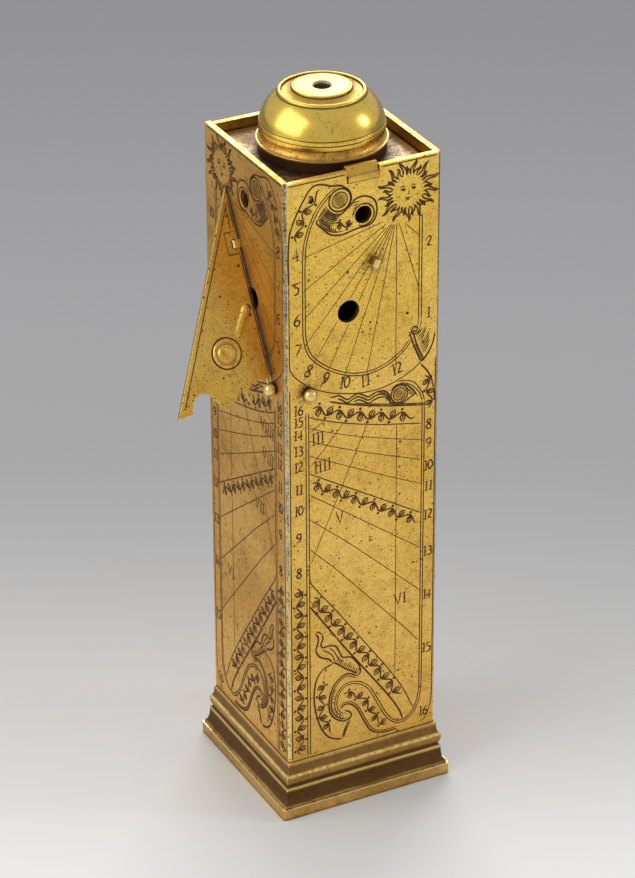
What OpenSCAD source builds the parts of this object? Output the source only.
// Pocket column sundial: a square gilt brass pillar that stands on a moulded foot.
// The pillar is soldered up from four engraved plates and is hollow. A hinged lid with a
// turned dome closes it. A folding gnomon turns on two lugs of the left face. The front
// face has the same lugs, whose gnomon is lost.
// Up is +Z, the front face looks along -Y and the left face along -X.

/* [Column] */
// Width of the square pillar across its outer faces
column_w = 36; // [33:0.5:40]
// Height of the plates above the base plate
column_h = 147.8; // [138:0.5:165]
// Thickness of the four plates
wall_t = 1.3; // [1:0.1:1.7]
// Width of the soldered strip down each front corner
seam_w = 0.8; // [0.5:0.1:1]
// How much lower the back plate ends than the other three
rim_step = 0.3; // [0.1:0.1:0.5]
// Gap on each side of the back plate
back_gap = 0.05; // [0.02:0.01:0.1]
// Leg of the solder fillets inside the back corners
fillet_leg = 1; // [0.6:0.1:1.2]

/* [Base] */
// Thickness of the square base plate
base_t = 2.7; // [2.2:0.1:3.4]
// How far the base plate stands out beyond the pillar
base_out = 2.6; // [2.4:0.1:3.4]
// Radius of the base plate's worn corners
base_r = 0.8; // [0.3:0.1:1.4]
// How far the moulding's flared foot stands out
foot_out = 2.1; // [1.7:0.1:2.3]
// Height of the flared foot
foot_h = 3.8; // [3:0.1:4.6]
// How far the lower band stands out
band_out = 1.1; // [0.9:0.05:1.3]
// Height of the lower band
band_h = 0.5; // [0.4:0.1:0.9]
// How far the recess above the lower band stands out
recess_out = 0.65; // [0.5:0.05:0.8]
// Height of that recess
recess_h = 0.7; // [0.5:0.1:1]
// How far the rounded belly of the moulding stands out
belly_out = 1.1; // [0.9:0.05:1.3]
// Height of the belly
belly_h = 1.8; // [1.2:0.1:2.2]
// Height of the plain ridge on the belly
ridge_h = 0.4; // [0.3:0.1:0.7]
// Height of the hollow above the belly
cove_h = 2.3; // [1.8:0.1:3]
// Height of the top fillet
top_fillet_h = 0.7; // [0.4:0.1:1]
// How far the top fillet stands out
top_fillet_out = 0.3; // [0.2:0.05:0.4]

/* [Lid] */
// Thickness of the lid plate
lid_t = 1.1; // [0.9:0.1:1.5]
// Depth of the lid plate's top below the rim
lid_sink = 2.5; // [2.4:0.1:2.8]
// Clearance between the lid plate and the walls
lid_gap = 0.3; // [0.25:0.05:0.45]
// Width of the ledges that the lid rests on
ledge_w = 1; // [0.8:0.1:1.4]
// Height of those ledges
ledge_h = 2.5; // [1.5:0.1:4]
// Width of the catch in the middle of the front rim
catch_w = 7.1; // [6:0.1:9]
// Clearance round the catch in its notch
catch_gap = 0.15; // [0.1:0.05:0.25]
// How far the catch stands above the rim
catch_rise = 0.6; // [0.3:0.1:1]
// How far the catch's front slopes back from the front face, up to its crest
catch_lean = 1; // [0.6:0.1:1.4]
// Thickness of that crest
crest_t = 0.9; // [0.6:0.1:1]
// How far the lip of the catch stands out from the front face
lip_out = 0.35; // [0.2:0.05:0.5]
// Height of that lip
lip_h = 1.4; // [1.1:0.1:1.7]
// Depth of the catch's foot, where it is soldered to the lid plate
catch_seat = 0.9; // [0.7:0.1:1.4]

/* [Lid hinge] */
// Radius of the hinge knuckles
knuckle_r = 1.1; // [1:0.05:1.2]
// Radius of the hinge pin
hinge_pin_r = 0.5; // [0.4:0.05:0.6]
// Length of the middle knuckle, on the lid
mid_knuckle_l = 4; // [3:0.1:5]
// Length of each outer knuckle, on the back plate
end_knuckle_l = 2.6; // [2:0.1:3.5]
// Gap between neighbouring knuckles
knuckle_gap = 0.15; // [0.1:0.05:0.25]
// Air between the hinge and what it turns past
hinge_air = 0.3; // [0.25:0.05:0.4]
// Radial clearance of a turning pin
running_gap = 0.04; // [0.02:0.01:0.08]
// Radial clearance of a fixed pin or shank
seat_gap = 0.01; // [0.01:0.01:0.03]

/* [Dome] */
// Radius of the bowl at its lip
bowl_r = 13.15; // [12.6:0.05:13.25]
// Height of the bowl above its lip, up to the stepped ring
bowl_h = 7.4; // [6.5:0.1:9]
// Height of the straight lip round the bowl's foot
bowl_lip_h = 0.6; // [0.4:0.1:0.9]
// Wall of the bowl
bowl_t = 1.2; // [0.9:0.1:1.6]
// How far the flared apron below the bowl stands out beyond it
apron_out = 0.55; // [0.3:0.05:0.6]
// How much narrower than the bowl the neck above the apron is
neck_in = 0.55; // [0.4:0.05:1]
// How much narrower than the apron the plain drum is that stands on the lid plate
drum_step = 0.4; // [0.3:0.05:0.8]
// Height of the drum
drum_h = 2.3; // [2:0.1:3]
// Height of the apron
apron_h = 2.4; // [2:0.1:3]
// Wall of the neck
neck_t = 1.3; // [1:0.1:1.8]
// Outer radius of the stepped ring
ring_r = 9.2; // [8.8:0.1:9.8]
// Height of the stepped ring
ring_h = 0.8; // [0.6:0.1:1.1]
// Width of the ring's rounded rim
ring_rim_w = 0.85; // [0.6:0.05:1]
// Radius of the top disc
disc_r = 6.2; // [5.6:0.1:6.8]
// Height of the top disc
disc_h = 0.5; // [0.4:0.1:1.1]
// Radius of the finial hole through the top disc
finial_hole_r = 1.72; // [1.4:0.02:2]
// Length of the disc's spigot in the ring and the bowl
spigot_l = 1.6; // [1.3:0.1:2]
// Radius of that spigot
spigot_r = 3.9; // [3.4:0.1:4.2]

/* [Dials] */
// Latitude that the dials are cut for, in degrees
latitude = 51; // [48:0.5:54]
// Distance of the upper lug from the middle of the face, away from the shared corner
lug_h = 2.4; // [1.5:0.1:3]
// Depth of the upper lug below the rim
lug_down = 21.2; // [20:0.1:24]
// Radius of the sight hole on the hinge line
sight_hole_r = 2.5; // [2:0.1:2.7]
// Distance of the sight hole from the upper lug, along the hinge line
sight_hole_s = 11.7; // [10:0.1:12.5]
// Radius of the upper hole of each dial
upper_hole_r = 1.95; // [1.5:0.05:2.2]
// Depth of that hole below the rim
upper_hole_down = 10.2; // [9:0.1:11]
// Radius of the small pit in the front face's upper corner
pit_r = 0.65; // [0.4:0.05:0.8]
// Depth of the pit
pit_depth = 0.6; // [0.3:0.1:0.8]
// Distance of the pit from the shared corner
pit_h = 6.1; // [5:0.1:7]
// Depth of the pit below the rim
pit_down = 4.6; // [3.5:0.1:6]

/* [Gnomon] */
// Thickness of the gnomon plate
gnomon_t = 1; // [0.9:0.1:1.2]
// Height of the hinge line above the dial face
pin_out = 1.1; // [1.05:0.05:1.4]
// Distance of the plate's hinge edge from the hinge line, towards the dial face
edge_in = 0.65; // [0.5:0.05:0.75]
// Distance of the gnomon's apex from the upper lug, along the hinge line
apex_s = 12.8; // [11.5:0.1:14]
// Distance of the gnomon's tip from the upper lug, along the hinge line
tip_s = 32.5; // [31.5:0.1:33.5]
// Distance of the ball lug from the upper lug
ball_s = 30.8; // [30.5:0.1:33]
// Distance of the plate's lower hinge end from the upper lug
heel_s = 28.3; // [27.5:0.1:28.5]
// Radius of the gnomon's pivot pins
pivot_r = 0.3; // [0.25:0.05:0.35]
// Length that the pivot pins are let into the plate
pivot_grip = 2.6; // [2:0.1:4]
// Distance of the round stud from the upper lug, along the hinge line
stud_s = 21.5; // [20:0.1:22]
// Distance of the round stud from the dial face
stud_out = 8.8; // [8:0.1:9.5]
// Radius of the stud's head
stud_r = 3.1; // [2.6:0.1:3.6]
// Height of the stud's head
stud_h = 0.45; // [0.3:0.05:0.7]
// Radius of the stud's shank
stud_shank_r = 1.2; // [0.9:0.1:1.5]
// Radius of the long pressed bulge beside the hinge edge
bulge_r = 1.3; // [1.1:0.05:1.5]
// How far that bulge stands out from the plate, at its head
bulge_out = 0.55; // [0.3:0.05:0.7]
// Length of that bulge between the middles of its round ends
bulge_l = 5.4; // [4:0.1:6]
// How far the bulge's head lies below the sight hole's middle
bulge_down = 1.8; // [1.5:0.1:3]

/* [Lugs] */
// Length of the upper lug along the hinge line
lug_l = 1.7; // [1.5:0.1:2.4]
// Thickness of the upper lug
lug_t = 1.3; // [1.2:0.1:1.5]
// How far the upper lug stands out beyond the hinge line
lug_over = 0.6; // [0.55:0.05:0.9]
// Radius of the ball lug
ball_r = 1.4; // [1.2:0.05:1.45]
// Radius of the shanks that rivet the lugs to the plates
rivet_r = 0.55; // [0.4:0.05:0.6]
// Radius of the upset ends inside the column
tail_r = 0.95; // [0.8:0.05:1.1]
// Height of the upset ends
tail_h = 0.4; // [0.3:0.05:0.6]

/* [Hidden] */
$fn = 64;
eps = 0.01;
// Air left where two pieces pass or rest beside each other
slack = 0.05;

half_w = column_w / 2;
inner_w = half_w - wall_t;
rim_z = base_t + column_h;
back_rim_z = rim_z - rim_step;
lid_top = rim_z - lid_sink;
lid_under = lid_top - lid_t;
ledge_top = lid_under - slack;

// The lid turns about this line, parallel to X
hinge_y = inner_w - hinge_air - knuckle_r;
hinge_z = lid_top + hinge_air + knuckle_r;

// Each dial declines 45 degrees from south. The hinge line lies in the substyle and the
// gnomon's edge points at the celestial pole.
decline = 45;
substyle = atan(sin(decline) / tan(latitude));
style = asin(cos(latitude) * cos(decline));
lug_z = rim_z - lug_down;
near_out = pin_out - edge_in;
slot_gap = 0.25;
slot_l = lug_l + 2 * slot_gap;
slot_out = pin_out + norm([lug_t / 2, lug_over]) + slot_gap;

// The lid's back edge dips as it swings, so the ledges end short of its path
lid_w = inner_w - lid_gap;
ledge_back = 2 * hinge_y - lid_w - hinge_air;

// The dome's heights count from the lid plate's top
apron_r = bowl_r + apron_out;
drum_r = apron_r - drum_step;
neck_r = bowl_r - neck_in;
foot_top = drum_h + apron_h;
bowl_from = foot_top + bowl_lip_h;
bowl_top = bowl_from + bowl_h;
ring_top = bowl_top + ring_h;
spigot_hole_r = spigot_r + slack;

gilt = [0.83, 0.66, 0.27];
brown_gilt = [0.66, 0.48, 0.19];
worn_gilt = [0.92, 0.78, 0.4];
solder_grey = [0.5, 0.48, 0.43];

// Points of an arc round c, from angle a to angle b
function arc(c, r, a, b, n = 10) =
    [for (i = [0 : n]) let (t = a + (b - a) * i / n) c + r * [cos(t), sin(t)]];

// Points of a quarter ellipse that leaves p level and reaches q upright. It is hollow where
// q lies nearer the pillar than p, and swells where q lies further out
function quarter(p, q, n = 8) =
    [for (i = [0 : n]) let (t = 90 * i / n)
        [p.x + (q.x - p.x) * sin(t), q.y + (p.y - q.y) * cos(t)]];

// Turns work on the front face into the same work on the left face
module on_left() {
    mirror([1, -1, 0])
        children();
}

// A copy for each of the two mirrored sides
module both_sides() {
    for (side = [0, 1])
        mirror([side, 0, 0])
            children();
}

// An outline in the YZ plane, extruded along X and centred
module along_x(length, points) {
    translate([-length / 2, 0, 0])
        rotate([90, 0, 90])
            linear_extrude(length)
                polygon(points);
}

// The dial's own frame: origin on the hinge line at the upper lug, -Z down along the
// hinge line, -Y straight out of the face and +X across it, to the folded side
module hinge_frame() {
    translate([lug_h, -half_w - pin_out, lug_z])
        rotate([0, substyle, 0])
            children();
}

// A round hole through a plate, drilled from the hinge line at a distance below the upper lug
module face_hole(s, r) {
    hinge_frame()
        translate([0, 0, -s])
            rotate([-90, 0, 0])
                cylinder(r = r, h = pin_out + wall_t + 1);
}

// Holes that both dial plates have: for the lugs' rivets, the sight hole and the upper hole
module dial_holes() {
    face_hole(0, rivet_r + seat_gap);
    face_hole(ball_s, rivet_r + seat_gap);
    face_hole(sight_hole_s, sight_hole_r);
    translate([0, -half_w - 1, rim_z - upper_hole_down])
        rotate([-90, 0, 0])
            cylinder(r = upper_hole_r, h = wall_t + 2);
}

// Column

// The square bar of solder that lies in the cut corner of two plates
module seam_bar(h) {
    translate([-half_w + seam_w / 2, -half_w + seam_w / 2, 0])
        rotate(45)
            translate([-seam_w * 0.75, -seam_w / 2, 0])
                cube([seam_w * 1.5, seam_w, h]);
}

module seam_cuts() {
    both_sides()
        translate([0, 0, base_t - 1])
            seam_bar(column_h + 2);
}

module front_plate() {
    notch_w = catch_w + 2 * catch_gap;
    notch_z = lid_top - catch_gap;
    color(gilt)
        difference() {
            translate([0, 0, base_t])
                linear_extrude(column_h)
                    polygon([[-half_w, -half_w], [half_w, -half_w],
                             [inner_w, -inner_w], [-inner_w, -inner_w]]);
            seam_cuts();
            dial_holes();
            translate([-notch_w / 2, -half_w - 1, notch_z])
                cube([notch_w, wall_t + 2, rim_z - notch_z + 1]);
            translate([-half_w + pit_h, -half_w - 1, rim_z - pit_down])
                rotate([-90, 0, 0])
                    cylinder(r = pit_r, h = 1 + pit_depth);
        }
}

// A side plate is mitred in front, and runs past the back plate behind
module side_plate() {
    difference() {
        translate([0, 0, base_t])
            linear_extrude(column_h)
                polygon([[half_w, -half_w], [half_w, half_w],
                         [inner_w, half_w], [inner_w, -inner_w]]);
        seam_cuts();
    }
}

module left_plate() {
    color(brown_gilt)
        difference() {
            mirror([1, 0, 0])
                side_plate();
            on_left()
                dial_holes();
        }
}

module right_plate() {
    color(brown_gilt)
        side_plate();
}

module back_plate() {
    color(brown_gilt)
        translate([-inner_w + back_gap, inner_w, base_t])
            cube([2 * (inner_w - back_gap), wall_t, back_rim_z - base_t]);
}

// Two strips that fill the front corners and two fillets inside the back corners
module corner_solder() {
    leg = seam_w / sqrt(2);
    deep = 2 * wall_t;
    color(solder_grey)
        both_sides() {
            translate([0, 0, base_t])
                intersection() {
                    seam_bar(column_h);
                    translate([-half_w, -half_w, 0])
                        linear_extrude(column_h)
                            polygon([[leg, 0], [deep, 0], [deep, deep], [0, deep], [0, leg]]);
                }
            translate([-inner_w, inner_w, base_t])
                linear_extrude(ledge_top - ledge_h - slack - base_t)
                    polygon([[0, 0], [fillet_leg, 0], [0, -fillet_leg]]);
        }
}

// Foot

module base_plate() {
    w = half_w + base_out;
    color(gilt)
        difference() {
            translate([-w, -w, 0])
                cube([2 * w, 2 * w, base_t]);
            for (a = [0 : 90 : 270])
                rotate(a)
                    translate([w - base_r, w - base_r, -1])
                        difference() {
                            cube([base_r + 1, base_r + 1, base_t + 2]);
                            cylinder(r = base_r, h = base_t + 2);
                        }
        }
}

// Outline of the foot moulding: x is the distance out from the pillar, y the height above
// the base plate
function moulding() =
    let (toe = 0.4, foot = foot_h, band = foot + band_h, recess = band + recess_h,
         belly = recess + belly_h, ridge = belly + ridge_h, cove = ridge + cove_h)
    concat([[0, 0], [foot_out, 0]],
           quarter([foot_out, toe], [band_out, foot]),
           [[band_out, band], [recess_out, band + recess_h / 3]],
           quarter([recess_out, recess], [belly_out, belly]),
           quarter([belly_out, ridge], [top_fillet_out, cove]),
           [[top_fillet_out, cove + top_fillet_h], [0, cove + top_fillet_h]]);

// One length of the moulding, on the front side, mitred at both ends
module moulding_length() {
    reach = half_w + foot_out + 1;
    color(gilt)
        intersection() {
            translate([0, -half_w, base_t])
                along_x(2 * reach, [for (p = moulding()) [-p.x, p.y]]);
            linear_extrude(column_h)
                polygon([[0, 0], [-reach, -reach], [reach, -reach]]);
        }
}

module front_moulding() {
    moulding_length();
}

module left_moulding() {
    rotate(-90)
        moulding_length();
}

module back_moulding() {
    rotate(180)
        moulding_length();
}

module right_moulding() {
    rotate(90)
        moulding_length();
}

// Lid and its hinge

module lid_ledges() {
    color(brown_gilt)
        both_sides()
            translate([inner_w - ledge_w, slack - inner_w, ledge_top - ledge_h])
                cube([ledge_w, ledge_back + inner_w - slack, ledge_h]);
}

module knuckle(length, bore_r) {
    rotate([0, 90, 0])
        difference() {
            cylinder(r = knuckle_r, h = length);
            translate([0, 0, -1])
                cylinder(r = bore_r, h = length + 2);
        }
}

// The bore of a knuckle, to keep it clear through what joins the knuckle
module knuckle_bore(length, bore_r) {
    translate([-1, 0, 0])
        rotate([0, 90, 0])
            cylinder(r = bore_r, h = length + 2);
}

module fixed_knuckles() {
    bore_r = hinge_pin_r + seat_gap;
    leaf_h = 1.2 * knuckle_r;
    color(brown_gilt)
        both_sides()
            translate([mid_knuckle_l / 2 + knuckle_gap, hinge_y, hinge_z]) {
                knuckle(end_knuckle_l, bore_r);
                difference() {
                    translate([0, 0, -leaf_h / 2])
                        cube([end_knuckle_l, inner_w - hinge_y, leaf_h]);
                    knuckle_bore(end_knuckle_l, knuckle_r - eps);
                }
            }
}

module hinge_pin() {
    length = mid_knuckle_l + 2 * (knuckle_gap + end_knuckle_l);
    color(worn_gilt)
        translate([-length / 2, hinge_y, hinge_z])
            rotate([0, 90, 0])
                cylinder(r = hinge_pin_r, h = length);
}

module lid_plate() {
    color(solder_grey)
        translate([-lid_w, -lid_w, lid_under])
            cube([2 * lid_w, 2 * lid_w, lid_t]);
}

// The middle knuckle stands on a foot that is soldered to the lid plate
module lid_knuckle() {
    bore_r = hinge_pin_r + running_gap;
    color(brown_gilt)
        translate([-mid_knuckle_l / 2, hinge_y, hinge_z]) {
            knuckle(mid_knuckle_l, bore_r);
            difference() {
                translate([0, -knuckle_r, lid_top - hinge_z])
                    cube([mid_knuckle_l, knuckle_r + hinge_air, hinge_z - lid_top]);
                knuckle_bore(mid_knuckle_l, knuckle_r - eps);
            }
        }
}

// The catch in the front rim: its foot is soldered to the lid plate, its front slopes back
// for the thumb, and a lip stands proud of the face below
module lid_catch() {
    high = rim_z + catch_rise;
    lip_top = lid_top + lip_h;
    lip_y = -half_w - lip_out;
    crest_y = catch_lean - half_w;
    step = 0.15;
    soft = 0.2;
    color(gilt)
        along_x(catch_w, [
            [catch_seat - lid_w, lid_top], [crest_y + crest_t, high - soft],
            [crest_y + crest_t - soft, high], [crest_y, high],
            [step - half_w, lip_top], [lip_y + soft, lip_top], [lip_y, lip_top - soft],
            [lip_y, lid_top + soft], [lip_y + soft, lid_top]]);
}

// Dome

// Turns an outline round the dome's axis, on the lid plate
module turned(points) {
    translate([0, 0, lid_top])
        rotate_extrude($fn = 96)
            polygon(points);
}

// A wide foot is filed flat at the back, to clear the hinge
module dome_foot() {
    edge = 0.2;
    rim = 0.6;
    color(brown_gilt)
        difference() {
            turned(concat(
                [[neck_r - neck_t, 0], [drum_r, 0], [drum_r, drum_h],
                 [apron_r - edge, drum_h], [apron_r, drum_h + edge]],
                quarter([apron_r, drum_h + rim], [neck_r, foot_top]),
                [[neck_r - neck_t, foot_top]]));
            translate([-half_w, hinge_y - knuckle_r - hinge_air, lid_top - eps])
                cube([column_w, half_w, foot_top + 2 * eps]);
        }
}

module dome_bowl() {
    end = acos(ring_r / bowl_r);
    rise = bowl_h / sin(end);
    end_in = asin((bowl_h - bowl_t) / (rise - bowl_t));
    edge = 0.2;
    n = 16;
    color(gilt)
        turned(concat(
            [[bowl_r - bowl_t, foot_top], [bowl_r - edge, foot_top],
             [bowl_r, foot_top + edge]],
            [for (i = [0 : n]) let (t = end * i / n)
                [bowl_r * cos(t), bowl_from + rise * sin(t)]],
            [[spigot_hole_r, bowl_top], [spigot_hole_r, bowl_top - bowl_t]],
            [for (i = [n : -1 : 0]) let (t = end_in * i / n)
                [(bowl_r - bowl_t) * cos(t), bowl_from + (rise - bowl_t) * sin(t)]]));
}

module stepped_ring() {
    rim_r = ring_rim_w / 2;
    rim_z0 = 0.15;
    rest = disc_r + 0.15;
    color(gilt)
        turned(concat(
            [[spigot_hole_r, bowl_top], [ring_r, bowl_top]],
            arc([ring_r - rim_r, bowl_top + rim_z0], rim_r, 0, 180),
            [[rest, ring_top - 0.1], [rest - 0.1, ring_top], [spigot_hole_r, ring_top]]));
}

// The finial hole is bored through the disc and its spigot, with a flared mouth
module top_disc() {
    mouth = 0.35;
    edge = 0.15;
    top = ring_top + disc_h;
    color(worn_gilt)
        turned([
            [finial_hole_r, ring_top - spigot_l], [spigot_r, ring_top - spigot_l],
            [spigot_r, ring_top], [disc_r, ring_top], [disc_r, top - edge],
            [disc_r - edge, top], [finial_hole_r + 0.65, top], [finial_hole_r, top - mouth]]);
}

// Gnomon: x is the distance down the hinge line from the upper lug, y the distance out
// from the dial face

// How far out the style edge lies at a distance s down the hinge line
function style_out(s) = (s + apex_s) * tan(style);

// The lower edge runs in from the tip: a hollow, a belly, a cusp, a slanting leaf and the heel
function gnomon_outline() =
    let (tip_out = style_out(tip_s), bow_r = 2.8,
         hollow = [tip_s - 1.3, tip_out - 6.4],
         meet = atan2(-5.2, -2.1),
         belly = hollow + 2 * bow_r * [cos(meet), sin(meet)],
         cusp = [belly.x - 0.3, belly.y - 3.5])
    concat([[near_out / tan(style) - apex_s, near_out], [tip_s, tip_out],
            [tip_s - 0.5, tip_out - 3.4]],
           arc(hollow, bow_r, 102, 360 + meet, 12),
           arc(belly, bow_r, 180 + meet, -58, 12),
           [cusp, [tip_s - 0.1, cusp.y - 1.4], [tip_s - 0.6, cusp.y - 2.1],
            [tip_s - 2.9, cusp.y - 1.75], [heel_s + 0.5, cusp.y - 2.4],
            [heel_s, cusp.y - 3.8], [heel_s, near_out]]);

// The gnomon stands in the dial's own frame, on the left face
module on_gnomon() {
    on_left()
        hinge_frame()
            children();
}

// The long bulge that starts beside the hinge edge, leans outwards and sinks into the plate
module bulge() {
    lean = 33;
    sink = 3.5;
    head_out = 2.2;
    deep = bulge_r - bulge_out - gnomon_t / 2;
    intersection() {
        translate([deep, pin_out - head_out, -sight_hole_s - bulge_down])
            rotate([-lean, -sink, 0]) {
                sphere(r = bulge_r);
                translate([0, 0, -bulge_l])
                    cylinder(r = bulge_r, h = bulge_l);
                translate([0, 0, -bulge_l])
                    sphere(r = bulge_r);
            }
        translate([-gnomon_t - bulge_r, -stud_out, -heel_s])
            cube([gnomon_t + bulge_r, stud_out + 1, heel_s]);
    }
}

module gnomon_plate() {
    color(gilt)
        on_gnomon()
            difference() {
                union() {
                    along_x(gnomon_t, [for (p = gnomon_outline()) [pin_out - p.y, -p.x]]);
                    bulge();
                }
                translate([-gnomon_t, pin_out - slot_out, -slot_l / 2])
                    cube([2 * gnomon_t, slot_out, slot_l]);
                translate([0, 0, -slot_l / 2 - pivot_grip])
                    cylinder(r = pivot_r + seat_gap, h = slot_l + 2 * pivot_grip);
                translate([0, 0, -heel_s - 1])
                    cylinder(r = pivot_r + seat_gap, h = pivot_grip + 1);
                translate([-gnomon_t, pin_out - stud_out, -stud_s])
                    rotate([0, 90, 0])
                        cylinder(r = stud_shank_r + seat_gap, h = 2 * gnomon_t);
            }
}

// A round rivet head with a raised rim, a groove, an inner ring and a hollow middle
module gnomon_stud() {
    t = gnomon_t / 2;
    color(worn_gilt)
        on_gnomon()
            translate([-t, pin_out - stud_out, -stud_s])
                rotate([0, -90, 0])
                    rotate_extrude()
                        polygon([
                            [0, -gnomon_t], [stud_shank_r, -gnomon_t], [stud_shank_r, 0],
                            [stud_r, 0], [stud_r, stud_h / 2], [stud_r * 0.94, stud_h],
                            [stud_r * 0.8, stud_h], [stud_r * 0.74, stud_h / 2],
                            [stud_r * 0.66, stud_h / 2], [stud_r * 0.56, stud_h * 1.2],
                            [stud_r * 0.36, stud_h], [stud_r * 0.18, stud_h / 3],
                            [0, stud_h / 4]]);
}

module upper_pivot() {
    length = slot_l + 2 * pivot_grip;
    color(worn_gilt)
        on_gnomon()
            translate([0, 0, -length / 2])
                cylinder(r = pivot_r, h = length);
}

module lower_pivot() {
    low = ball_s + ball_r * 0.8;
    color(worn_gilt)
        on_gnomon()
            translate([0, 0, -low])
                cylinder(r = pivot_r, h = low - heel_s + pivot_grip);
}

// Lugs: each is riveted through its plate, with its upset end inside the column

module rivet() {
    rotate([-90, 0, 0]) {
        cylinder(r = rivet_r, h = pin_out + wall_t);
        translate([0, 0, pin_out + wall_t])
            cylinder(r = tail_r, h = tail_h);
    }
}

module pivot_bore() {
    translate([0, 0, -lug_l])
        cylinder(r = pivot_r + running_gap, h = 2 * lug_l);
}

module upper_lug() {
    soft = 0.25;
    w = lug_t / 2;
    color(worn_gilt)
        hinge_frame()
            difference() {
                union() {
                    translate([0, 0, -lug_l / 2])
                        linear_extrude(lug_l)
                            polygon([[-w, pin_out], [w, pin_out], [w, soft - lug_over],
                                     [w - soft, -lug_over], [soft - w, -lug_over],
                                     [-w, soft - lug_over]]);
                    rivet();
                }
                pivot_bore();
            }
}

// The ball is filed flat where it rests on the face
module ball_lug() {
    color(worn_gilt)
        hinge_frame()
            translate([0, 0, -ball_s])
                difference() {
                    union() {
                        intersection() {
                            sphere(r = ball_r);
                            translate([-2 * ball_r, pin_out - 4 * ball_r, -2 * ball_r])
                                cube(4 * ball_r);
                        }
                        rivet();
                    }
                    pivot_bore();
                }
}

module left_upper_lug() {
    on_left()
        upper_lug();
}

module left_ball_lug() {
    on_left()
        ball_lug();
}

module front_upper_lug() {
    upper_lug();
}

module front_ball_lug() {
    ball_lug();
}

front_plate();
left_plate();
back_plate();
right_plate();
corner_solder();
base_plate();
front_moulding();
left_moulding();
back_moulding();
right_moulding();
lid_ledges();
fixed_knuckles();
hinge_pin();
lid_plate();
lid_knuckle();
lid_catch();
dome_foot();
dome_bowl();
stepped_ring();
top_disc();
gnomon_plate();
gnomon_stud();
upper_pivot();
lower_pivot();
left_upper_lug();
left_ball_lug();
front_upper_lug();
front_ball_lug();
